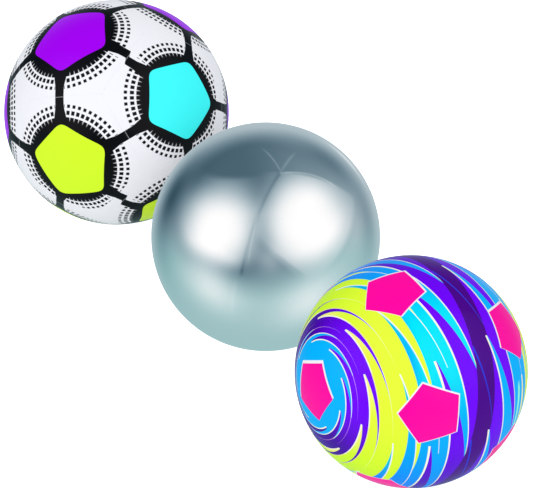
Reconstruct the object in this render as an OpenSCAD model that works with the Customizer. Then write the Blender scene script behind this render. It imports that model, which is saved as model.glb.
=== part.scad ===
// Set of three inflated play balls, touching in a row on the floor.
// Each ball: air bladder, rubber carcass, twelve bonded film panels and a needle valve.
// +Z is up, the row lies along X, and the origin is the floor point under the silver ball.

/* [Balls] */
// Outside diameter of each ball
ball_d = 220; // [160:5:260]
// Gap left between neighbouring balls
ball_gap = 0.44; // [0.2:0.02:2]
// Turn of the third ball out of the line of the row, in degrees
row_bend = 2.97; // [0:0.01:20]

/* [Skin] */
// Thickness of the printed cover film with its foam backing
cover_t = 1.0; // [0.6:0.1:2]
// Thickness of the rubber carcass under the cover
carcass_t = 0.8; // [0.5:0.1:1.5]
// Thickness of the air bladder
bladder_t = 0.7; // [0.5:0.1:1.5]
// Glue line between one layer and the next
layer_gap = 0.05; // [0.03:0.01:0.1]
// Open width of the seam between two cover panels
seam_w = 0.3; // [0.1:0.05:1]

/* [Valve] */
// Diameter of the rubber valve sleeve
sleeve_d = 9; // [8:0.5:12]
// Depth of the sleeve below the ball's surface
sleeve_depth = 27; // [24:1:34]
// Diameter of the flange that bonds the sleeve to the bladder
flange_d = 24; // [18:1:30]
// Thickness of that flange
flange_t = 1.4; // [1:0.1:2]
// Diameter of the removable core's stem
core_d = 5; // [4.5:0.1:5.6]
// Length of the core below its head
core_len = 23; // [20:0.5:24]
// Diameter of the core's head
core_head_d = 6.8; // [6.2:0.1:7.2]
// Thickness of the core's head
core_head_t = 1.2; // [1:0.1:1.5]
// Radial running clearance between core and sleeve
core_fit = 0.05; // [0.02:0.01:0.1]
// Diameter of the channel that takes the inflating needle
needle_d = 2.2; // [2:0.1:2.6]
// Length of that channel's straight wall
needle_len = 15; // [12:0.5:17]

/* [Hidden] */
$fn = 96;

// Radii of the layers, from the outside in
ball_r = ball_d / 2;
cover_in_r = ball_r - cover_t;
carcass_r = cover_in_r - layer_gap;
carcass_in_r = carcass_r - carcass_t;
bladder_r = carcass_in_r - layer_gap;
bladder_in_r = bladder_r - bladder_t;

// Centre of each ball, and how it lies: turns about X, Y and Z of the ball's valve axis
pitch = ball_d + ball_gap;
silver_at = [0, 0, ball_r];
football_at = [-pitch, 0, ball_r];
swirl_at = [pitch * cos(row_bend), -pitch * sin(row_bend), ball_r];
football_lie = [-68.89, -38.09, 64.19];
silver_lie = [-60, -15, 10];
swirl_lie = [-56.2, -23.4, 16.72];

// Twelve panels meet as the faces of a regular dodecahedron
panel_apart = atan(2);
panel_step = 72;

// Valve heights, measured along the valve axis from the ball's centre
mouth_recess = 0.3;
sleeve_top = ball_r - mouth_recess;
head_seat = sleeve_top - core_head_t;
funnel_t = 0.3;
funnel_d = needle_d + 0.8;
hole_fit = 0.05;
groove_w = 1;
groove_depth = 0.3;

// A hollow ball between two radii
module shell(outer_r, inner_r) {
    difference() {
        sphere(r = outer_r);
        sphere(r = inner_r);
    }
}

// The hole through every layer that the valve sleeve passes
module sleeve_hole() {
    translate([0, 0, ball_r / 2])
        cylinder(d = sleeve_d + 2 * hole_fit, h = ball_r);
}

// One five-sided cover panel, centred on +Z, with half a seam cut off each side
module panel() {
    side = 2.2 * ball_r;
    difference() {
        shell(ball_r, cover_in_r);
        for (k = [0:4])
            rotate([0, 0, k * panel_step])
                rotate([0, panel_apart / 2, 0])
                    translate([-seam_w / 2, -side / 2, -side / 2])
                        cube(side);
    }
}

// A panel turned from +Z to its own place on the ball
module panel_at(polar, around, turn = 0) {
    rotate([0, polar, around])
        rotate([0, 0, turn])
            panel();
}

// The panel that the valve comes through
module valve_panel() {
    difference() {
        panel();
        sleeve_hole();
    }
}

// Panels 1 to 5 of the ring next to the valve panel
module upper_panel(k) {
    panel_at(panel_apart, (k - 1) * panel_step, 180);
}

// Panels 1 to 5 of the ring next to the base panel
module lower_panel(k) {
    panel_at(180 - panel_apart, (k - 0.5) * panel_step);
}

// The panel opposite the valve
module base_panel() {
    panel_at(180, 0);
}

// Airtight inner bladder
module bladder() {
    difference() {
        shell(bladder_r, bladder_in_r);
        sleeve_hole();
    }
}

// Rubber carcass that holds the ball round
module carcass() {
    difference() {
        shell(carcass_r, carcass_in_r);
        sleeve_hole();
    }
}

// Rubber sleeve bonded to the inside of the bladder by its flange
module valve_body() {
    difference() {
        union() {
            translate([0, 0, ball_r - sleeve_depth])
                cylinder(d = sleeve_d, h = sleeve_depth - mouth_recess);
            intersection() {
                shell(bladder_in_r - layer_gap, bladder_in_r - layer_gap - flange_t);
                translate([0, 0, ball_r / 2])
                    cylinder(d = flange_d, h = ball_r);
            }
        }
        translate([0, 0, ball_r / 2])
            cylinder(d = core_d + 2 * core_fit, h = ball_r);
        translate([0, 0, head_seat])
            cylinder(d = core_head_d + 2 * core_fit, h = ball_r);
    }
}

// Removable rubber core: head, grooved stem and a blind channel for the needle
module valve_core() {
    difference() {
        union() {
            translate([0, 0, head_seat])
                cylinder(d = core_head_d, h = core_head_t);
            translate([0, 0, head_seat - core_len])
                cylinder(d = core_d, h = core_len + core_head_t / 2);
        }
        translate([0, 0, sleeve_top - funnel_t - needle_len])
            cylinder(d = needle_d, h = needle_len + funnel_t);
        translate([0, 0, sleeve_top - funnel_t])
            cylinder(d1 = needle_d, d2 = funnel_d, h = funnel_t);
        for (depth = [core_len / 3, core_len * 2 / 3])
            translate([0, 0, head_seat - depth - groove_w])
                difference() {
                    cylinder(d = core_d + 1, h = groove_w);
                    cylinder(d = core_d - 2 * groove_depth, h = groove_w);
                }
    }
}

// Places of the three balls in the row
module in_football() {
    translate(football_at) rotate(football_lie) children();
}

module in_silver() {
    translate(silver_at) rotate(silver_lie) children();
}

module in_swirl() {
    translate(swirl_at) rotate(swirl_lie) children();
}

// Football: white panels with one purple, cyan or lime pentagon each
module football_bladder() { color("dimgray") in_football() bladder(); }
module football_carcass() { color("black") in_football() carcass(); }
module football_valve_body() { color("black") in_football() valve_body(); }
module football_valve_core() { color("white") in_football() valve_core(); }
module football_valve_panel() { color("cyan") in_football() valve_panel(); }
module football_base_panel() { color("greenyellow") in_football() base_panel(); }
module football_upper_panel_1() { color("darkviolet") in_football() upper_panel(1); }
module football_upper_panel_2() { color("cyan") in_football() upper_panel(2); }
module football_upper_panel_3() { color("greenyellow") in_football() upper_panel(3); }
module football_upper_panel_4() { color("darkviolet") in_football() upper_panel(4); }
module football_upper_panel_5() { color("darkviolet") in_football() upper_panel(5); }
module football_lower_panel_1() { color("darkviolet") in_football() lower_panel(1); }
module football_lower_panel_2() { color("cyan") in_football() lower_panel(2); }
module football_lower_panel_3() { color("greenyellow") in_football() lower_panel(3); }
module football_lower_panel_4() { color("greenyellow") in_football() lower_panel(4); }
module football_lower_panel_5() { color("cyan") in_football() lower_panel(5); }

// Silver ball: plain metallic panels
module silver_bladder() { color("dimgray") in_silver() bladder(); }
module silver_carcass() { color("black") in_silver() carcass(); }
module silver_valve_body() { color("black") in_silver() valve_body(); }
module silver_valve_core() { color("white") in_silver() valve_core(); }
module silver_valve_panel() { color("silver") in_silver() valve_panel(); }
module silver_base_panel() { color("silver") in_silver() base_panel(); }
module silver_upper_panel_1() { color("silver") in_silver() upper_panel(1); }
module silver_upper_panel_2() { color("silver") in_silver() upper_panel(2); }
module silver_upper_panel_3() { color("silver") in_silver() upper_panel(3); }
module silver_upper_panel_4() { color("silver") in_silver() upper_panel(4); }
module silver_upper_panel_5() { color("silver") in_silver() upper_panel(5); }
module silver_lower_panel_1() { color("silver") in_silver() lower_panel(1); }
module silver_lower_panel_2() { color("silver") in_silver() lower_panel(2); }
module silver_lower_panel_3() { color("silver") in_silver() lower_panel(3); }
module silver_lower_panel_4() { color("silver") in_silver() lower_panel(4); }
module silver_lower_panel_5() { color("silver") in_silver() lower_panel(5); }

// Swirl ball: striped panels with one pink pentagon each
module swirl_bladder() { color("dimgray") in_swirl() bladder(); }
module swirl_carcass() { color("black") in_swirl() carcass(); }
module swirl_valve_body() { color("black") in_swirl() valve_body(); }
module swirl_valve_core() { color("white") in_swirl() valve_core(); }
module swirl_valve_panel() { color("deeppink") in_swirl() valve_panel(); }
module swirl_base_panel() { color("deeppink") in_swirl() base_panel(); }
module swirl_upper_panel_1() { color("deeppink") in_swirl() upper_panel(1); }
module swirl_upper_panel_2() { color("deeppink") in_swirl() upper_panel(2); }
module swirl_upper_panel_3() { color("deeppink") in_swirl() upper_panel(3); }
module swirl_upper_panel_4() { color("deeppink") in_swirl() upper_panel(4); }
module swirl_upper_panel_5() { color("deeppink") in_swirl() upper_panel(5); }
module swirl_lower_panel_1() { color("deeppink") in_swirl() lower_panel(1); }
module swirl_lower_panel_2() { color("deeppink") in_swirl() lower_panel(2); }
module swirl_lower_panel_3() { color("deeppink") in_swirl() lower_panel(3); }
module swirl_lower_panel_4() { color("deeppink") in_swirl() lower_panel(4); }
module swirl_lower_panel_5() { color("deeppink") in_swirl() lower_panel(5); }

football_bladder();
football_carcass();
football_valve_body();
football_valve_core();
football_valve_panel();
football_base_panel();
football_upper_panel_1();
football_upper_panel_2();
football_upper_panel_3();
football_upper_panel_4();
football_upper_panel_5();
football_lower_panel_1();
football_lower_panel_2();
football_lower_panel_3();
football_lower_panel_4();
football_lower_panel_5();
silver_bladder();
silver_carcass();
silver_valve_body();
silver_valve_core();
silver_valve_panel();
silver_base_panel();
silver_upper_panel_1();
silver_upper_panel_2();
silver_upper_panel_3();
silver_upper_panel_4();
silver_upper_panel_5();
silver_lower_panel_1();
silver_lower_panel_2();
silver_lower_panel_3();
silver_lower_panel_4();
silver_lower_panel_5();
swirl_bladder();
swirl_carcass();
swirl_valve_body();
swirl_valve_core();
swirl_valve_panel();
swirl_base_panel();
swirl_upper_panel_1();
swirl_upper_panel_2();
swirl_upper_panel_3();
swirl_upper_panel_4();
swirl_upper_panel_5();
swirl_lower_panel_1();
swirl_lower_panel_2();
swirl_lower_panel_3();
swirl_lower_panel_4();
swirl_lower_panel_5();
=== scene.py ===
"""Looks for the set of three inflated play balls: printed football, mirror silver, swirl print.

Metres in the row frame, +Z up. Every cover panel is built again here as a closed shell with a smooth
skin and rounded edges; its print, with some painted shade and highlights in it, is worked out by
formula from the place on the panel or on the ball.
"""
import math

import bpy
import numpy as np
from mathutils import Matrix, Vector


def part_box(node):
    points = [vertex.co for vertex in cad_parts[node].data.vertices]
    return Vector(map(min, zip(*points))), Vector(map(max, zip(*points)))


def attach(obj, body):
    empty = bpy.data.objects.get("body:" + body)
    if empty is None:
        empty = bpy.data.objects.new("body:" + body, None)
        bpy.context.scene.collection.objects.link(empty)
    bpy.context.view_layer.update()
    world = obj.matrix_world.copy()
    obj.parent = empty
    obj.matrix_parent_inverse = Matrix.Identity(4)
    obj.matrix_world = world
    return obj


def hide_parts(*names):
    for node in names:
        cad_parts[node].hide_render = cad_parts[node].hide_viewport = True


# ---------------------------------------------------------------- sizes of the balls, as in the CAD
BALL_R = 0.110
COVER = 0.001
FACE_TILT = math.degrees(math.atan(2)) / 2  # from a panel's centre to the middle of its side
SLEEVE_HOLE_R = 0.00455
LIE = {  # how each ball is turned: degrees about X, then Y, then Z
    "football": (-68.89, -38.09, 64.19),
    "silver": (-60.0, -15.0, 10.0),
    "swirl": (-56.2, -23.4, 16.72),
}
FIFTH, HALF_SIDE = 72.0, 36.0  # azimuth of one side of a pentagon, and half of it
PANELS = ["valve_panel", "base_panel"]
PANELS += [f"{ring}_panel_{k}" for ring in ("upper", "lower") for k in range(1, 6)]

# ---------------------------------------------------------------- colours, as sRGB
PURPLE, CYAN, LIME = (160, 0, 240), (62, 252, 254), (210, 252, 44)
INK, PAPER = (10, 10, 14), (238, 240, 246)
# The darker azure, violet and lemon-green are painted shade: darker copies of those inks for the side
# of the swirl turned away from the lights.
# The pale aqua is a painted sheen, laid over part of the azure sea.
AZURE, SHADED_AZURE, SHEEN_AQUA = (0, 178, 254), (0, 128, 250), (0, 226, 252)
VIOLET, SHADED_VIOLET, GRAPE, BLUE = (110, 0, 250), (64, 0, 154), (72, 0, 136), (30, 60, 236)
LEMON, SHADED_LEMON, PALE_YELLOW = (226, 252, 58), (198, 250, 30), (244, 236, 140)
CREAM, MINT, TEAL = (250, 248, 222), (150, 252, 226), (10, 202, 206)
PINK, LILAC = (254, 6, 160), (226, 150, 244)
FOOTBALL_COLOUR = {
    "valve_panel": CYAN, "base_panel": LIME,
    "upper_panel_1": PURPLE, "upper_panel_2": CYAN, "upper_panel_3": LIME,
    "upper_panel_4": PURPLE, "upper_panel_5": PURPLE,
    "lower_panel_1": PURPLE, "lower_panel_2": CYAN, "lower_panel_3": LIME,
    "lower_panel_4": LIME, "lower_panel_5": CYAN,
}

# On the side shown to the camera each place takes its print from this far to the right, up and
# towards the camera, in ball radii, so the print is larger there. Round the back it is even.
PRINT_SLIDE = {
    "football": (-0.0325, 0.0265, 0.118),
    "silver": (0.0, 0.0, 0.0),
    "swirl": (0.010, -0.013, 0.079),
}
SLIDE_FROM, SLIDE_OVER = -0.15, 0.45  # the slide grows as the skin turns to the camera, by cosine

# ---------------------------------------------------------------- camera and studio
CAMERA_AZ, CAMERA_EL = 48.56, 47.449
CAMERA_AWAY = 55.91 * BALL_R
LENS, SENSOR = 432.5, 36.0
LENS_SHIFT = (0.0015, -0.0137)  # puts the silver ball's centre just above the frame's middle


def linear(colour):
    """sRGB 0-255 to the linear values that shaders use."""
    out = []
    for c in colour:
        c = c / 255
        out.append(c / 12.92 if c <= 0.04045 else ((c + 0.055) / 1.055) ** 2.4)
    return (*out, 1.0)


# ================================================================ arithmetic on shader values
class Val:
    """A number in a node tree that plain arithmetic works on."""

    def __init__(self, tree, socket):
        self.tree, self.socket = tree, socket

    def __add__(self, o):
        return calc(self.tree, "ADD", self, o)

    def __sub__(self, o):
        return calc(self.tree, "SUBTRACT", self, o)

    def __rsub__(self, o):
        return calc(self.tree, "SUBTRACT", o, self)

    def __mul__(self, o):
        return calc(self.tree, "MULTIPLY", self, o)

    def __truediv__(self, o):
        return calc(self.tree, "DIVIDE", self, o)

    def __neg__(self):
        return self * -1.0

    __radd__, __rmul__ = __add__, __mul__


def feed(tree, socket, value):
    """Links a shader value to a socket, or sets the socket to a plain one."""
    if isinstance(value, Val):
        tree.links.new(value.socket, socket)
    else:
        socket.default_value = value


def calc(tree, operation, *values, clamp=False):
    """A math node's result."""
    node = tree.nodes.new("ShaderNodeMath")
    node.operation, node.use_clamp = operation, clamp
    for socket, value in zip(node.inputs, values):
        feed(tree, socket, value)
    return Val(tree, node.outputs[0])


def fn(operation):
    """A math node as a function of shader values."""
    return lambda v, *others: calc(v.tree, operation, v, *others)


sine, cosine, magnitude = fn("SINE"), fn("COSINE"), fn("ABSOLUTE")
most, root, power = fn("MAXIMUM"), fn("SQRT"), fn("POWER")
part, smooth_most = fn("FRACT"), fn("SMOOTH_MAX")


def sin_deg(v):
    return sine(v * (math.pi / 180))


def cos_deg(v):
    return cosine(v * (math.pi / 180))


def angle(up, across):
    """Angle in degrees whose tangent is up / across."""
    return calc(up.tree, "ARCTAN2", up, across) * (180 / math.pi)


def wrap(v, low, high):
    return calc(v.tree, "WRAP", v, high, low)


def above(v, edge, soft=0.1):
    """1 where v is past edge, 0 before it, with a soft step of the given width."""
    return calc(v.tree, "ADD", (v - edge) / soft, 0.5, clamp=True)


def below(v, edge, soft=0.1):
    return calc(v.tree, "ADD", (edge - v) / soft, 0.5, clamp=True)


def between(v, low, high, soft=0.1):
    return above(v, low, soft) * below(v, high, soft)


def ease(v):
    """Smooth rise from 0 to 1 while v goes from 0 to 1."""
    v = calc(v.tree, "ADD", v, 0.0, clamp=True)
    return v * v * (3.0 - v * 2.0)


def either(*masks):
    """The greatest of some masks."""
    out = masks[0]
    for m in masks[1:]:
        out = most(out, m)
    return out


def vector(tree, value, operation, other=None, output=0):
    """A vector operation; value and other are vector sockets or plain vectors."""
    node = tree.nodes.new("ShaderNodeVectorMath")
    node.operation = operation
    for socket, v in zip(node.inputs, (value, other)):
        if v is not None:
            feed(tree, socket, v)
    return Val(tree, node.outputs[output])


def dot(v, direction):
    return vector(v.tree, v, "DOT_PRODUCT", direction, 1)


def split(v):
    """The three parts of a vector."""
    node = v.tree.nodes.new("ShaderNodeSeparateXYZ")
    v.tree.links.new(v.socket, node.inputs[0])
    return [Val(v.tree, s) for s in node.outputs]


def unit(v):
    return vector(v.tree, v, "NORMALIZE")


def mix(tree, share, a, b):
    """Colour a where share is 0 and colour b where it is 1."""
    node = tree.nodes.new("ShaderNodeMix")
    node.data_type, node.clamp_factor = "RGBA", True
    feed(tree, node.inputs[0], share)
    for socket, colour in ((node.inputs[6], a), (node.inputs[7], b)):
        feed(tree, socket, colour if isinstance(colour, Val) else linear(colour))
    return Val(tree, node.outputs[2])


def attribute(tree, name):
    """A vector stored on the mesh's points."""
    node = tree.nodes.new("ShaderNodeAttribute")
    node.attribute_name = name
    return Val(tree, node.outputs["Vector"])


def noise(tree, at, scale, detail):
    node = tree.nodes.new("ShaderNodeTexNoise")
    node.inputs["Scale"].default_value = scale
    node.inputs["Detail"].default_value = detail
    feed(tree, node.inputs["Vector"], at)
    return Val(tree, node.outputs[0])


# ================================================================ materials
def new_material(name, **settings):
    """A Principled material; returns (material, tree, shader node)."""
    material = bpy.data.materials.new(name)
    material.use_nodes = True
    tree = material.node_tree
    shader = tree.nodes["Principled BSDF"]
    for key, value in settings.items():
        feed(tree, shader.inputs[key.replace("_", " ")], value)
    return material, tree, shader


def bump(tree, shader, height, distance, strength):
    """Makes the surface and its coat uneven."""
    node = tree.nodes.new("ShaderNodeBump")
    node.inputs["Distance"].default_value = distance
    node.inputs["Strength"].default_value = strength
    feed(tree, node.inputs["Height"], height)
    tree.links.new(node.outputs[0], shader.inputs["Normal"])
    tree.links.new(node.outputs[0], shader.inputs["Coat Normal"])


def polar(at):
    """(degrees from +Z, azimuth in degrees) of a place given as a vector."""
    x, y, z = split(at)
    return angle(root(x * x + y * y), z), angle(y, x)


def pentagon(r, c, rounding=0.01):
    """Distance outwards in a pentagon with a corner at azimuth 0: its inradius on the sides."""
    away = magnitude(c)
    return smooth_most(r * cos_deg(HALF_SIDE - away), r * cos_deg(HALF_SIDE + away), rounding)


GRAIN_SCALE, GRAIN_DEPTH = 900.0, 0.00001


def film(name, colour_of):
    """Glossy printed film: colour_of(tree) gives the print; the film has a very fine grain."""
    material, tree, shader = new_material(
        name, Roughness=0.5, Coat_Weight=0.5, Coat_Roughness=0.045, Coat_IOR=1.3)
    shader.inputs["Specular IOR Level"].default_value = 0.0
    tree.links.new(colour_of(tree).socket, shader.inputs["Base Color"])
    grain = noise(tree, attribute(tree, "ball_at"), GRAIN_SCALE, 3.0)
    bump(tree, shader, grain, GRAIN_DEPTH, 0.35)
    return material


# ---------------------------------------------------------------- football print
# All in degrees: from the panel's centre, or of azimuth round it
PENTAGON_IN = 16.5       # inradius of the coloured pentagon
PENTAGON_ROUNDING = 5.4
DISC = 20.6              # solid black out to here
TICKS = 22.7             # black with fine white ticks out to here
TICK_BLACK = 0.84        # share of the pitch between two ticks that stays black
TICK_SHOWS = 0.9         # how white the ends of the fine ticks are
ROWS = ((24.65, 0.65), (27.6, 0.52))  # rows of black squares: place and share filled
ROW_PITCH = 2.95
COLUMN_PITCH = 5.8       # azimuth between two squares
COLUMNS_OUT = 31.0       # azimuth where the squares stop, from the middle of the side
BAR_HALF = 2.3
FLARE, FLARE_FROM, FLARE_OVER = 0.9, 28.0, 6.0  # how much and where a bar widens to the disc
SEAM_GLINT_HALF, SEAM_GLINT_SHOWS = 0.12, 0.35  # the pale line painted where two panels' bars meet: a painted highlight along the seam
JOG, JOG_OVER = 1.55, 1.4  # half of the step in some bars, and how far along the bar it runs
JOG_PANELS = (("lower_panel_5", "upper_panel_5"), ("lower_panel_4", "base_panel"))
JOG_NEAR = 0.98  # how close to the middle of such a pair's seam, as a cosine, a bar steps


def football_squares(r, side, column):
    """The rows of black squares round a pentagon."""
    squares = 0.0
    for place, filled in ROWS:
        half = ROW_PITCH * filled / 2
        row = between(r, place - half, place + half, 0.25)
        squares = row * below(column, filled + 0.02, 0.14) + squares
    return squares * below(magnitude(side), COLUMNS_OUT, 0.5)


def football_bar(r, c, ball_at):
    """The black bar to each corner; some step sideways where two panels meet."""
    facing = [above(dot(ball_at, seam_middle(*pair)), JOG_NEAR, 0.004) for pair in JOG_PANELS]
    shift = either(*facing) * JOG * (1.0 - ease((r - FACE_TILT) / JOG_OVER + 0.5) * 2.0)
    flare = ease((FLARE_FROM - r) / FLARE_OVER) * FLARE
    return below(magnitude(r * sin_deg(c) - shift), flare + BAR_HALF, 0.15)


def football_print(colour):
    """The print of a football panel with a pentagon of the given colour."""
    def build(tree):
        r, az = polar(attribute(tree, "panel_at"))
        c = wrap(az, -HALF_SIDE, HALF_SIDE)
        side = wrap(az - HALF_SIDE, -HALF_SIDE, HALF_SIDE)
        column = magnitude(part(side / COLUMN_PITCH + 10.0) - 0.5) * 2.0
        dots = football_squares(r, side, column)
        white = ease((r - DISC) / (TICKS - DISC)) * TICK_SHOWS
        tick = either(below(column, TICK_BLACK, 0.1), 1.0 - white)
        disc = either(below(r, DISC, 0.9), below(r, TICKS, 0.2) * tick)
        bar = football_bar(r, c, unit(attribute(tree, "ball_at")))
        out = mix(tree, either(disc, dots, bar), PAPER, INK)
        # Painted highlight: a pale line along the seam, across the black bars.
        seam_glint = below(magnitude(r - FACE_TILT), SEAM_GLINT_HALF, 0.1) * bar * SEAM_GLINT_SHOWS
        out = mix(tree, seam_glint, out, PAPER)
        inside = below(pentagon(r, c, PENTAGON_ROUNDING), PENTAGON_IN, 0.15)
        return mix(tree, inside, out, colour)

    return build


def seam_middle(a, b):
    """Direction, in the ball's own frame, of the middle of the seam between two panels."""
    v = panel_frame(a).col[2] + panel_frame(b).col[2]
    return v.normalized()


# ---------------------------------------------------------------- swirl print
# theta: degrees from the swirl's pole; phi: azimuth round it
CELL, ARMS = 45.0, 3  # the pattern repeats every 45 degrees, and each edge winds over three repeats
SWIRL_TILT = 2.2      # degrees from the middle of lower panel 4 to the pole
LIT_AZIMUTH = 28.0        # azimuth where the inks are brightest: painted light and shade, the inks are painted darker away from it
SHEEN_AZIMUTH = 34.0          # azimuth of the middle of the painted sheen, a pale aqua patch in the sea
SHEEN_HALF, SHEEN_FADE = 40.0, 30.0  # half of its run round the pole, and how much of it fades
SHEEN_FROM, SHEEN_TO = 54.0, 90.0    # where it lies, from the pole
BLADE_END, BLADE_FADE, BLADE_SHOWS = 38.0, 30.0, 0.85  # how far back from a tip its blade runs
GRAPE_FROM, GRAPE_TO = 85.5, 95.5
BLUE_TIP, BLUE_SLOPE, BLUE_HALF = 30.0, 0.28, 0.55  # the fine blue line in the grape band
MINT_AT, MINT_SLOPE = 116.5, 0.12
MINT_FROM, MINT_TO = -20.0, 8.0
PINK_IN, KEY_WIDE = 12.35, 0.5  # inradius of a pink pentagon, and the white rim round it
KEY_SHIFT = {  # panels whose white underprint is shifted more: towards, and by how many degrees
    "lower_panel_4": (172, 1.0), "upper_panel_5": (-28, 0.4),
    "upper_panel_1": (48, 0.6), "lower_panel_5": (200, 0.25),
}
KEY_SHIFT_ELSEWHERE = (30, 0.2)


def straight(start, slope, bend=0.0):
    """How far from the pole an edge runs, by the azimuth x back from its tip."""
    return lambda x: x * slope + start + (x * x * bend if bend else 0.0)


class Band:
    """Where one colour of the swirl gives way to the next, with long wedges of each in the other.

    tip: azimuth of the tips; edge, wedge: how far from the pole the boundary and the wedges'
    far sides run, by the azimuth back from the tip; strokes: colours of the thin lines along
    the arms of the boundary, or of the wedges if on_wedge is set; wide: their width at a tip;
    start: the band begins no nearer the pole; blade: ink between the boundary and its wedge.
    """

    def __init__(self, tip, edge, wedge, strokes, wide, on_wedge=False, start=0.0, blade=None):
        self.tip, self.edge, self.wedge, self.blade = tip, edge, wedge, blade
        self.strokes, self.wide, self.on_wedge, self.start = strokes, wide, on_wedge, start


TOP_VIOLET = Band(27.0, straight(21.0, 0.069), straight(21.5, 0.125), (CREAM, CREAM, LILAC), 0.66)
TOP_LEMON = Band(26.0, straight(33.2, 0.065, 0.00034), straight(33.3, 0.17),
                 (CREAM, PALE_YELLOW, CREAM), 0.744, blade=PALE_YELLOW)
MIDDLE_AZURE = Band(22.0, straight(49.5, 0.14), straight(49.7, 0.24), (PAPER, CREAM), 0.66, True,
                    blade=TEAL)
MIDDLE_VIOLET = Band(26.0, straight(66.3, 0.205), straight(66.5, 0.37),
                     (CREAM, CREAM, PALE_YELLOW), 1.08)
LOW_AZURE = Band(34.0, straight(95.2, 0.215), straight(95.4, 0.38), (CREAM, CREAM, PAPER), 0.96,
                 start=95.0)
LOW_LEMON = Band(12.0, straight(119.5, 0.13), straight(119.8, 0.23), (CREAM, PAPER), 0.72,
                 start=119.0, blade=PALE_YELLOW)
LOW_VIOLET = Band(30.0, straight(138.0, 0.09), straight(138.3, 0.17), (CREAM, PALE_YELLOW, LILAC),
                  0.66, start=137.0)
LOW_CAP = Band(4.0, straight(153.0, 0.06), straight(153.3, 0.11), (CREAM, CREAM), 0.6,
               start=152.0, blade=TEAL)


def swirl_edge(theta, phi, b):
    """A band's boundary: azimuth back from the tip, mask of what is past it, its edges, wedges."""
    x = wrap(b.tip - phi, 0.0, CELL)
    edges = [b.edge(x + CELL * n) for n in range(ARMS)]
    wedges = [b.wedge(x + CELL * n) for n in range(ARMS - 1)]
    mask = above(theta, edges[0])
    for n in range(ARMS - 1):
        mask = mask * (1.0 - between(theta, wedges[n], edges[n + 1]))
    return x, mask, edges, wedges


def band(tree, paint, ink, theta, phi, b):
    """Paints one band of the swirl over what is there, with its strokes."""
    x, mask, edges, wedges = swirl_edge(theta, phi, b)
    if b.start:
        mask = mask * above(theta, b.start)
    paint = mix(tree, mask, paint, ink)
    if b.blade:
        blade = between(theta, edges[0], wedges[0]) * ease((BLADE_END - x) / BLADE_FADE)
        paint = mix(tree, blade * BLADE_SHOWS, paint, b.blade)
    return keyline(tree, paint, theta, x, wedges if b.on_wedge else edges, b.strokes, b.wide)


def keyline(tree, paint, theta, x, arms, colours, wide):
    """A thin stroke along each arm of a boundary, wide near the tip and gone at the arm's end."""
    for n, (arm, colour) in enumerate(zip(arms, colours)):
        along = (x + CELL * n) / (CELL * ARMS)
        stroke = between(theta, arm - (1.0 - along) * wide, arm)
        paint = mix(tree, stroke, paint, colour)
    return paint


def swirl_inks(tree, theta, phi):
    """Azure, violet, lemon and sea, with painted shade: each ink is painted darker away from one
    azimuth round the pole; the sea also has a painted sheen.
    """
    # Painted shade: the inks are painted darker as the azimuth moves away from the lit side.
    painted_shade = ease((1.0 - cos_deg(phi - LIT_AZIMUTH)) * 0.85)
    azure = mix(tree, painted_shade * ease((theta - 24.0) / 16.0), AZURE, SHADED_AZURE)
    violet = mix(tree, painted_shade, VIOLET, SHADED_VIOLET)
    lemon = mix(tree, painted_shade * 0.8, LEMON, SHADED_LEMON)
    # Painted sheen: pale aqua over part of the sea, where light falls on the film.
    clear = ease((SHEEN_HALF - magnitude(phi - SHEEN_AZIMUTH)) / SHEEN_FADE)
    clear = clear * ease((theta - SHEEN_FROM) / 8.0) * below(theta, SHEEN_TO, 12.0)
    sea = mix(tree, clear, azure, SHEEN_AQUA)
    return azure, violet, lemon, sea


def grape_band(tree, paint, theta, phi):
    """The dark band near the swirl's equator, with a fine blue line in each repeat."""
    grape = between(theta, GRAPE_FROM, GRAPE_TO, 0.3)
    paint = mix(tree, grape, paint, GRAPE)
    x = wrap(BLUE_TIP - phi, 0.0, CELL)
    line = magnitude(theta - (x * BLUE_SLOPE + GRAPE_FROM)) + x * 0.012
    return mix(tree, below(line, BLUE_HALF, 0.3) * grape * 0.8, paint, BLUE)


def mint_streak(tree, paint, theta, phi):
    """One pale streak in the azure past the grape band."""
    off = magnitude(theta - (MINT_AT - wrap(phi, -CELL / 2, CELL / 2) * MINT_SLOPE))
    return mix(tree, below(off, 1.0, 0.6) * between(phi, MINT_FROM, MINT_TO, 4.0), paint, MINT)


def swirl_print(tree):
    """The print of a swirl panel: bands from the pole outwards, then the panel's pentagon."""
    theta, phi = polar(attribute(tree, "swirl_at"))
    azure, violet, lemon, sea = swirl_inks(tree, theta, phi)
    paint = band(tree, azure, violet, theta, phi, TOP_VIOLET)
    paint = band(tree, paint, lemon, theta, phi, TOP_LEMON)
    paint = band(tree, paint, sea, theta, phi, MIDDLE_AZURE)
    paint = band(tree, paint, violet, theta, phi, MIDDLE_VIOLET)
    paint = grape_band(tree, paint, theta, phi)
    paint = band(tree, paint, azure, theta, phi, LOW_AZURE)
    paint = mint_streak(tree, paint, theta, phi)
    paint = band(tree, paint, lemon, theta, phi, LOW_LEMON)
    paint = band(tree, paint, violet, theta, phi, LOW_VIOLET)
    paint = band(tree, paint, azure, theta, phi, LOW_CAP)
    for at, inradius, ink in (("key_at", PINK_IN + KEY_WIDE, PAPER), ("panel_at", PINK_IN, PINK)):
        r, az = polar(attribute(tree, at))
        inside = below(pentagon(r, wrap(az, -HALF_SIDE, HALF_SIDE)), inradius, 0.1)
        paint = mix(tree, inside, paint, ink)
    return paint


# ---------------------------------------------------------------- silver and rubber
def silver_film():
    """Metallic mirror film, very slightly clouded."""
    material, tree, shader = new_material("film_silver", Metallic=1.0, Roughness=0.06)
    at = attribute(tree, "ball_at")
    cloud = noise(tree, at, 9.0, 2.0)
    colour = mix(tree, cloud, (246, 247, 248), (250, 250, 250))
    tree.links.new(colour.socket, shader.inputs["Base Color"])
    return material


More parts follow.
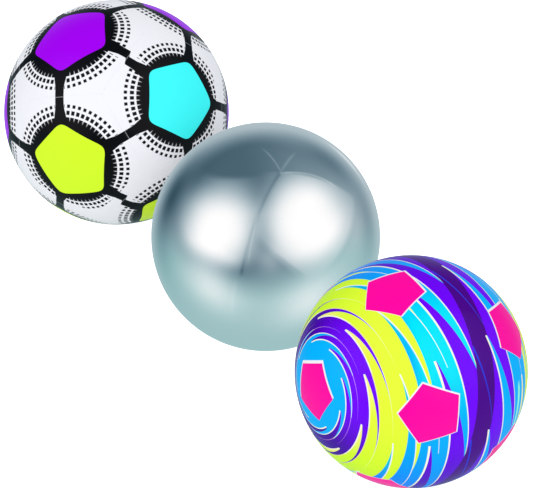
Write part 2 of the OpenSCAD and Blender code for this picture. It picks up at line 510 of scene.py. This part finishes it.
def rubber(name, colour, speck, scale):
    """Moulded rubber: matt, slightly mottled, with a fine grain."""
    material, tree, shader = new_material(name, Roughness=0.62)
    node = tree.nodes.new("ShaderNodeTexCoord")
    at = Val(tree, node.outputs["Object"])
    patch = noise(tree, at, scale, 4.0)
    tree.links.new(mix(tree, patch, colour, speck).socket, shader.inputs["Base Color"])
    bump(tree, shader, noise(tree, at, scale * 25, 2.0), 0.00002, 0.5)
    return material


# ================================================================ panel meshes
def about(axis, degrees):
    """Rotation about one axis."""
    return Matrix.Rotation(math.radians(degrees), 3, axis)


def panel_frame(panel):
    """Rotation from a panel's own frame, centred on +Z, to the ball's frame."""
    ring, _, k = panel.rpartition("_panel_")
    if ring == "upper":
        return about("Z", (int(k) - 1) * FIFTH) @ about("Y", 2 * FACE_TILT) @ about("Z", 180)
    if ring == "lower":
        return about("Z", (int(k) - 0.5) * FIFTH) @ about("Y", 180 - 2 * FACE_TILT)
    return about("Y", 180) if panel == "base_panel" else Matrix.Identity(3)


def ball_frame(ball):
    """Rotation from the ball's frame to the row frame."""
    x, y, z = LIE[ball]
    return about("Z", z) @ about("Y", y) @ about("X", x)


def swirl_frame():
    """Rotation from the ball's frame to the swirl's: its pole is close to lower panel 4."""
    pole = panel_frame("lower_panel_4").col[2]
    beside = panel_frame("lower_panel_5").col[2]
    x = (beside - pole * pole.dot(beside)).normalized()
    y = pole.cross(x)
    tilt = math.radians(SWIRL_TILT)
    pole = pole * math.cos(tilt) + y * math.sin(tilt)
    return Matrix((x, pole.cross(x), pole))


def ball_centre(ball):
    """A ball's centre at rest."""
    low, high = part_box(f"{ball}_carcass")
    return (low + high) / 2


SEGMENTS = 120               # points round a panel
OUTER_RINGS, FIRST_OUTER = 15, 0.08  # even rings of the outer face; share out to the first
INNER_RINGS, FIRST_INNER = 7, 0.2    # the same for the inner face
# Distances in from a side, in metres, of the rings that shape its edge
EDGE_STEPS = (0.012, 0.008, 0.005, 0.003, 0.0018, 0.0012, 0.0009, 0.0007, 0.0005, 0.00035,
              0.0002, 0.0001)
EDGE_SPREAD = 1.2  # stretches them, because a panel's corners are further out than its sides
ROLL = 0.98        # the edge follows a quarter circle, stretched, to this share of its radius
WALL_COS = 0.7     # a face is a wall when its normal is further than this from the skin's


class Skin:
    """How a ball's cover meets at its seams: half the gap, depth and width of the rounded edge."""

    def __init__(self, half_gap, drop, width):
        self.half_gap, self.drop, self.width = half_gap, drop, width


SKINS = {
    "football": Skin(0.00002, 0.00005, 0.0006),
    "silver": Skin(0.00001, 0.00001, 0.0004),
    "swirl": Skin(0.00002, 0.00005, 0.0006),
}


def side_normals():
    """Unit normals of the five planes through the ball's centre that hold a panel's sides."""
    tilt = math.radians(FACE_TILT)
    az = np.radians(np.arange(5) * FIFTH)
    return np.stack([np.cos(az) * math.cos(tilt), np.sin(az) * math.cos(tilt),
                     np.full(5, -math.sin(tilt))], 1)


def edge_reach(az, radius, half_gap):
    """Gnomonic distance from the panel's centre to its side, at each azimuth."""
    rel = (az + math.pi / 5) % (2 * math.pi / 5) - math.pi / 5
    tilt = math.radians(FACE_TILT)
    reach = np.full(len(az), math.tan(tilt))
    for _ in range(6):  # the gap's share of the reach depends on the reach; this settles it
        drop = half_gap / radius * np.sqrt(1 + reach**2)
        reach = (math.sin(tilt) - drop) / (math.cos(tilt) * np.cos(rel))
    return reach


def shell_rings(radius, skin, hole, shares):
    """Directions of the rings of one face of a panel, from its centre or hole to its edge."""
    az = np.arange(SEGMENTS) * 2 * math.pi / SEGMENTS
    reach = edge_reach(az, radius, skin.half_gap)
    inner = hole / radius
    rings = []
    for t in shares:
        rho = inner + t * (reach - inner)
        d = np.stack([rho * np.cos(az), rho * np.sin(az), np.ones(SEGMENTS)], 1)
        rings.append(d / np.linalg.norm(d, axis=1, keepdims=True))
    return np.array(rings)


def outer_face(directions, skin):
    """Places and normals on the outside: a sphere whose rim rolls down into the seam."""
    n = side_normals()
    flat = directions.reshape(-1, 3)
    along = flat @ n.T
    nearest = along.argmax(1)
    inset = -along[np.arange(len(flat)), nearest] * BALL_R - skin.half_gap
    u = np.clip(1 - inset / skin.width, 0, 1)
    circle, full = np.sqrt(1 - (ROLL * u) ** 2), 1 - math.sqrt(1 - ROLL**2)
    height = BALL_R - skin.drop * (1 - circle) / full
    slope = np.where(u > 0, skin.drop / skin.width * ROLL**2 * u / circle / full, 0)
    side = n[nearest]
    outwards = side - flat * (side * flat).sum(1, keepdims=True)
    normal = flat + outwards * slope[:, None]
    normal /= np.linalg.norm(normal, axis=1, keepdims=True)
    return flat * height[:, None], normal


def ring_faces(start, rings, flip=False):
    """Quads between consecutive rings of SEGMENTS vertices."""
    i = np.arange(SEGMENTS)
    j = (i + 1) % SEGMENTS
    out = []
    for k in range(rings - 1):
        a, b = start + k * SEGMENTS, start + (k + 1) * SEGMENTS
        quad = np.stack([a + i, b + i, b + j, a + j], 1)
        out.append(quad[:, ::-1] if flip else quad)
    return np.concatenate(out)


def fan(centre, start, flip=False):
    """Triangles from a centre vertex to a ring."""
    i = np.arange(SEGMENTS)
    j = (i + 1) % SEGMENTS
    tri = np.stack([np.full(SEGMENTS, centre), start + i, start + j], 1)
    return (tri[:, ::-1] if flip else tri).tolist()


def wall(a, b, flip=False):
    """Quads joining ring a to ring b."""
    i = np.arange(SEGMENTS)
    j = (i + 1) % SEGMENTS
    quad = np.stack([a + i, b + i, b + j, a + j], 1)
    return (quad[:, ::-1] if flip else quad).tolist()


def outer_shares(hole):
    """Where the rings of the outer face lie, as shares of the way to its edge."""
    depth = BALL_R * math.sin(math.radians(FACE_TILT))
    edge = [1 - step * EDGE_SPREAD / depth for step in EDGE_STEPS]
    first = 0.0 if hole else FIRST_OUTER
    return [*np.linspace(first, edge[0], OUTER_RINGS), *edge[1:], 1.0]


def panel_shell(skin, hole):
    """(places, normals, faces) of a closed panel in its own frame."""
    shares = outer_shares(hole)
    outer, normal = outer_face(shell_rings(BALL_R, skin, hole, shares), skin)
    inner_r = BALL_R - COVER
    inner_shares = np.linspace(0.0 if hole else FIRST_INNER, 1.0, INNER_RINGS)
    inner_dirs = shell_rings(inner_r, skin, hole, inner_shares).reshape(-1, 3)
    places = np.concatenate([outer, inner_dirs * inner_r])
    normals = np.concatenate([normal, -inner_dirs])
    n_out, n_in = len(shares), len(inner_shares)
    first_in = n_out * SEGMENTS
    faces = ring_faces(0, n_out).tolist() + ring_faces(first_in, n_in, True).tolist()
    faces += wall((n_out - 1) * SEGMENTS, first_in + (n_in - 1) * SEGMENTS)
    if hole:
        faces += wall(0, first_in, True)
    else:
        centre = len(places)
        places = np.concatenate([places, [[0, 0, BALL_R], [0, 0, inner_r]]])
        normals = np.concatenate([normals, [[0, 0, 1], [0, 0, -1]]])
        faces += fan(centre, 0) + fan(centre + 1, first_in, True)
    return places, normals, faces


def add_vectors(mesh, name, values):
    """Stores a vector on each point of a mesh, for the shaders."""
    layer = mesh.attributes.new(name, "FLOAT_VECTOR", "POINT")
    layer.data.foreach_set("vector", np.asarray(values, np.float32).ravel())


def build_panel(ball, panel, material):
    """One cover panel as a closed shell, in place, riding on its ball."""
    hole = SLEEVE_HOLE_R if panel == "valve_panel" else 0.0
    places, normals, faces = panel_shell(SKINS[ball], hole)
    to_ball = np.array(panel_frame(panel))
    on_ball = places @ to_ball.T
    turn = np.array(ball_frame(ball))
    centre = np.array(ball_centre(ball))
    mesh = bpy.data.meshes.new(f"{ball}_{panel}_film")
    mesh.from_pydata(on_ball @ turn.T + centre, [], faces)
    print_at = slid(on_ball, turn, PRINT_SLIDE[ball])
    on_panel = print_at @ to_ball
    add_vectors(mesh, "ball_at", print_at)
    add_vectors(mesh, "panel_at", on_panel)
    if ball == "swirl":
        add_vectors(mesh, "swirl_at", print_at @ np.array(swirl_frame()).T)
        add_vectors(mesh, "key_at", on_panel @ key_shift(panel).T)
    smooth_skin(mesh, normals @ to_ball.T @ turn.T)
    mesh.materials.append(material)
    obj = bpy.data.objects.new(f"{ball}_{panel}_film", mesh)
    bpy.context.scene.collection.objects.link(obj)
    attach(obj, f"{ball}_ball")
    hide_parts(f"{ball}_{panel}")
    obj.visible_glossy = False


def slid(places, turn, slide):
    """Directions on the ball that the print is drawn at."""
    d = places / np.linalg.norm(places, axis=1, keepdims=True)
    right, up, back = (np.array(axis) @ turn for axis in camera_axes())
    u = np.clip((d @ back - SLIDE_FROM) / SLIDE_OVER, 0, 1)
    shift = slide[0] * right + slide[1] * up + slide[2] * back
    d = d + (u * u * (3 - 2 * u))[:, None] * shift
    return d / np.linalg.norm(d, axis=1, keepdims=True)


def smooth_skin(mesh, normals):
    """Smooth shading by the exact normals of the skin, except on the thin walls at the seams."""
    mesh.polygons.foreach_set("use_smooth", [True] * len(mesh.polygons))
    count = len(mesh.loops)
    corner = np.zeros(count, np.int32)
    mesh.loops.foreach_get("vertex_index", corner)
    faces = np.zeros(len(mesh.polygons) * 3, np.float32)
    mesh.polygons.foreach_get("normal", faces)
    totals = np.zeros(len(mesh.polygons), np.int32)
    mesh.polygons.foreach_get("loop_total", totals)
    face = np.repeat(faces.reshape(-1, 3), totals, axis=0)
    wanted = normals[corner]
    on_wall = (face * wanted).sum(1) < WALL_COS
    wanted[on_wall] = face[on_wall]
    mesh.normals_split_custom_set(wanted.tolist())


def key_shift(panel):
    """Small turn of a swirl panel's white underprint against its pink pentagon."""
    az, amount = KEY_SHIFT.get(panel, KEY_SHIFT_ELSEWHERE)
    axis = Vector((-math.sin(math.radians(az)), math.cos(math.radians(az)), 0))
    return np.array(Matrix.Rotation(math.radians(-amount), 3, axis))


def build_covers():
    """All 36 cover panels."""
    films = {
        PURPLE: film("film_purple", football_print(PURPLE)),
        CYAN: film("film_cyan", football_print(CYAN)),
        LIME: film("film_lime", football_print(LIME)),
    }
    silver, swirl = silver_film(), film("film_swirl", swirl_print)
    for panel in PANELS:
        build_panel("football", panel, films[FOOTBALL_COLOUR[panel]])
        build_panel("silver", panel, silver)
        build_panel("swirl", panel, swirl)


# For each CAD part: its slot in the record, its colour, its specks and how fine they are
RUBBERS = {
    "bladder": ("bladder_rubber", (70, 68, 66), (92, 88, 84), 30.0),
    "carcass": ("carcass_rubber", (26, 26, 27), (38, 38, 40), 40.0),
    "valve_body": ("valve_rubber", (22, 22, 24), (34, 34, 36), 200.0),
    "valve_core": ("valve_core_rubber", (222, 222, 218), (236, 236, 232), 200.0),
}


def finish_cad_parts(nodes):
    """Rubber finishes on the CAD's own bladders, carcasses and valves."""
    for part_name, (slot_in_record, *look) in RUBBERS.items():
        material = rubber(slot_in_record, *look)
        for ball in LIE:
            obj = nodes[f"{ball}_{part_name}"]
            for slot in obj.material_slots:
                slot.material = material
            if not obj.material_slots:
                obj.data.materials.append(material)
            obj.visible_glossy = False


# ================================================================ studio
def camera_axes():
    """The camera's right, up and back directions in the row frame."""
    a, e = math.radians(CAMERA_AZ), math.radians(CAMERA_EL)
    back = Vector((math.sin(a) * math.cos(e), -math.cos(a) * math.cos(e), math.sin(e)))
    right = Vector((math.cos(a), math.sin(a), 0))
    return right, back.cross(right), back


def toward(azimuth, elevation):
    """Direction seen from the balls, from the camera: azimuth to its right, elevation up."""
    a, e = math.radians(azimuth), math.radians(elevation)
    return Vector((math.sin(a) * math.cos(e), math.sin(e), math.cos(a) * math.cos(e)))


def edge(d, corners, soft, middle):
    """1 on the softbox's side of one of its edges; three corners carry the edge's curve."""
    a, b, c = (toward(*corner) for corner in corners)
    across = (b - a).cross(c - a).normalized()
    away = across.dot(a)
    if across.dot(middle) < away:
        across, away = -across, -away
    return ease((dot(d, across) - away) / soft + 0.5)


JOIN = (32.5, 66.5)  # where the two softboxes touch, above the camera
LEFT_MIDDLE, RIGHT_MIDDLE = (-51, 7), (44, 16)
# The bright spot in each: direction, spread, steepness; then how bright it is
LEFT_LAMP, LEFT_BRIGHT = (-49, 5, 41, 1.6), 0.83
RIGHT_LAMP, RIGHT_BRIGHT, RIGHT_EVEN = (44, 12, 43, 2.0), 0.69, 0.13
# Each edge of a softbox: three places along it, and how soft it is
LEFT_BOX = (
    ((JOIN, (-33, 60), (-131, 44)), 0.08),
    (((-131, 44), (-116, 26), (-78, -16)), 0.36),
    (((-78, -16), (-66, -19), (-29, -57)), 0.36),
    ((JOIN, (-1, 17), (-29, -57)), 0.8),
)
RIGHT_BOX = (
    ((JOIN, (75, 53), (116, 22)), 0.07),
    (((116, 22), (103, 12), (91, -1)), 0.13),
    (((91, -1), (68, -16), (34, -34)), 0.67),
    (((34, -34), (-1, -9), (214, 34)), 0.18),
    (((-1, -9), (0, 45), JOIN), 0.54),
)
# Bright and dark lines where the boxes' frames and stands show: two ends, width, change
STREAKS = (
    (JOIN, (-29.5, -37.5), 0.054, -0.05),
    (JOIN, (-29.5, -37.5), 0.022, -0.07),
    ((-8.5, 21.5), (-18, -23), 0.012, 0.10),
    (JOIN, (-173, 82.5), 0.010, 0.14),
    (JOIN, (112.5, 70), 0.016, 0.09),
    ((34.5, 65), (98, 36), 0.014, 0.18),
    ((-38, -42), (-94, -66), 0.030, 0.03),
    ((12, -18), (45, -36), 0.030, -0.05),
)


def softbox(d, edges, middle):
    """1 inside a softbox, 0 outside."""
    mask = 1.0
    for corners, soft in edges:
        mask = edge(d, corners, soft, toward(*middle)) * mask
    return mask


def glow(d, azimuth, elevation, spread, steep=1.0):
    """Round soft light: 1 at its middle, falling off over spread degrees."""
    near = (1.0 - dot(d, toward(azimuth, elevation))) / (1 - math.cos(math.radians(spread)))
    if steep != 1.0:
        near = power(most(near, 0.0), steep)
    return calc(d.tree, "EXPONENT", -near)


def streak(d, a, b, width):
    """A line of light along the great circle from a to b."""
    a, b = toward(*a), toward(*b)
    off = dot(d, a.cross(b).normalized()) / width
    past_a = above(dot(d, b - a * a.dot(b)), 0.0, 0.1)
    past_b = above(dot(d, a - b * a.dot(b)), 0.0, 0.1)
    return calc(d.tree, "EXPONENT", -(off * off)) * past_a * past_b


# Parts of the studio that are dimmer or brighter than the rest: direction, spread, change
SHADES = (
    (-127, 19, 26, -0.82), (128, 10, 19, -0.36), (130, 42, 22, -0.56),
    (-34, -25, 19, -0.58), (4, -22, 12, 0.68),
)
# Light thrown back by the floor at the sides, and a lamp far behind: direction, spread, brightness
BOUNCES = ((-71, -38, 27, 0.35), (79, -55, 27, 0.28), (160, 18, 5, 0.25))
CEILING, WALL, FLOOR = 0.137, 0.246, 0.56
SKY, SKY_EDGE, SKY_SOFT = (-12, 38), 0.026, 0.81  # the floor ends on a circle round this direction
DARKEST = 0.03


def studio_room(x, y, sky):
    """Brightness of the bare room: ceiling, wall and floor."""
    ceiling = ease((x + 0.36) / 1.8) * 0.3 + CEILING
    level = (ceiling - WALL) * ease((y - 0.35) / 0.34) + WALL
    return (level - FLOOR) * sky + FLOOR


def studio_light(d):
    """(brightness, share of floor) that a glossy surface sees in the direction d."""
    x, y, _ = split(d)
    sky = ease((dot(d, toward(*SKY)) - SKY_EDGE) / SKY_SOFT + 0.5)
    level = studio_room(x, y, sky)
    for azimuth, elevation, spread, change in SHADES:
        level = level * (glow(d, azimuth, elevation, spread) * change + 1.0)
    left, right = glow(d, *LEFT_LAMP) * LEFT_BRIGHT, glow(d, *RIGHT_LAMP) * RIGHT_BRIGHT
    level = level + softbox(d, LEFT_BOX, LEFT_MIDDLE) * left
    level = level + softbox(d, RIGHT_BOX, RIGHT_MIDDLE) * (right + RIGHT_EVEN)
    for azimuth, elevation, spread, brightness in BOUNCES:
        level = level + glow(d, azimuth, elevation, spread) * brightness
    for a, b, width, change in STREAKS:
        level = level + streak(d, a, b, width) * change
    return most(level, DARKEST), (1.0 - sky) * ease((0.2 - y) / 0.5)


def joined(tree, parts):
    """A vector from its three parts."""
    node = tree.nodes.new("ShaderNodeCombineXYZ")
    for socket, value in zip(node.inputs, parts):
        feed(tree, socket, value)
    return Val(tree, node.outputs[0])


def studio_colour(level, floor):
    """Cool where it is dark, teal on the floor, white in the softboxes."""
    red, blue = power(level, floor * 0.47 + 1.3), power(level, floor * 0.09 + 0.87)
    return joined(level.tree, (red, level, blue))


def light_path(tree, *names):
    """What a light ray has been through, for a shader."""
    node = tree.nodes.new("ShaderNodeLightPath")
    return [Val(tree, node.outputs[name]) for name in names]


ROOM, KEY = 0.62, 0.72  # light on matt surfaces: even part, and the part from the camera's side
KEY_FROM = (-5, 12)


def make_world():
    """Soft white light for matt surfaces, a white backdrop, and the studio for mirrors."""
    world = bpy.data.worlds.new("studio")
    bpy.context.scene.world = world
    world.use_nodes = True
    tree = world.node_tree
    tree.nodes.clear()
    coord = tree.nodes.new("ShaderNodeTexCoord")
    at = Val(tree, coord.outputs["Generated"])
    d = unit(joined(tree, [dot(at, axis) for axis in camera_axes()]))
    shine = studio_colour(*studio_light(d))
    camera, glossy, matt = light_path(tree, "Is Camera Ray", "Is Glossy Ray", "Diffuse Depth")
    # A mirror throws the soft light, and not the studio, on to matt surfaces near it
    mirrored = glossy * below(matt, 0.5, 0.5)
    soft = most(dot(d, toward(*KEY_FROM)), 0.0) * KEY + ROOM
    background = tree.nodes.new("ShaderNodeBackground")
    colour = mix(tree, mirrored, either(soft, camera), shine)
    feed(tree, background.inputs["Color"], colour)
    output = tree.nodes.new("ShaderNodeOutputWorld")
    tree.links.new(background.outputs[0], output.inputs["Surface"])
    world.cycles.sampling_method = "NONE"


FLOOR_HALF, FLOOR_DROP = 6.0, 0.0002  # half of the floor's side, and how far it is below the balls
FLOOR_GLOW = 0.85  # so that the camera sees the floor white; it lights nothing


def make_floor():
    """Pale floor under the balls."""
    centre = ball_centre("silver")
    mesh = bpy.data.meshes.new("floor")
    corners = [(centre.x + sx * FLOOR_HALF, centre.y + sy * FLOOR_HALF, -FLOOR_DROP)
               for sx, sy in ((-1, -1), (1, -1), (1, 1), (-1, 1))]
    mesh.from_pydata(corners, [], [(0, 1, 2, 3)])
    floor = bpy.data.objects.new("floor", mesh)
    bpy.context.scene.collection.objects.link(floor)
    material, tree, shader = new_material("floor", Roughness=1.0)
    shader.inputs["Specular IOR Level"].default_value = 0.0
    coord = tree.nodes.new("ShaderNodeTexCoord")
    haze = noise(tree, Val(tree, coord.outputs["Object"]), 3.0, 2.0)
    colour = mix(tree, haze, (252, 252, 252), (254, 254, 254))
    tree.links.new(colour.socket, shader.inputs["Base Color"])
    shader.inputs["Emission Color"].default_value = (1, 1, 1, 1)
    (camera,) = light_path(tree, "Is Camera Ray")
    feed(tree, shader.inputs["Emission Strength"], camera * FLOOR_GLOW)
    mesh.materials.append(material)
    floor.visible_glossy = False


def make_camera():
    """The camera at the photograph's viewing angle, with a long lens."""
    back = camera_axes()[2]
    data = bpy.data.cameras.new("camera")
    data.lens, data.sensor_width = LENS, SENSOR
    data.clip_start, data.clip_end = 0.5, 50.0
    camera = bpy.data.objects.new("camera", data)
    bpy.context.scene.collection.objects.link(camera)
    camera.location = ball_centre("silver") + back * CAMERA_AWAY
    camera.rotation_mode = "QUATERNION"
    camera.rotation_quaternion = (-back).to_track_quat("-Z", "Y")
    data.shift_x, data.shift_y = LENS_SHIFT
    bpy.context.scene.camera = camera


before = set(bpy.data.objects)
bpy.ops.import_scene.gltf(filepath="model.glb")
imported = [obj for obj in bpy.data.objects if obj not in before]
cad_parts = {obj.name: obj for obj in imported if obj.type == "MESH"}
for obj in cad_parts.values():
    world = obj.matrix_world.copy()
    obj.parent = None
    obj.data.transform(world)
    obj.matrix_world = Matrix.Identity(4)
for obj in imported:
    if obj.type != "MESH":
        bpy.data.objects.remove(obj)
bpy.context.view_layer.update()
build_covers()
finish_cad_parts(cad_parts)
make_world()
make_floor()
make_camera()
bpy.context.scene.view_settings.view_transform = "Standard"
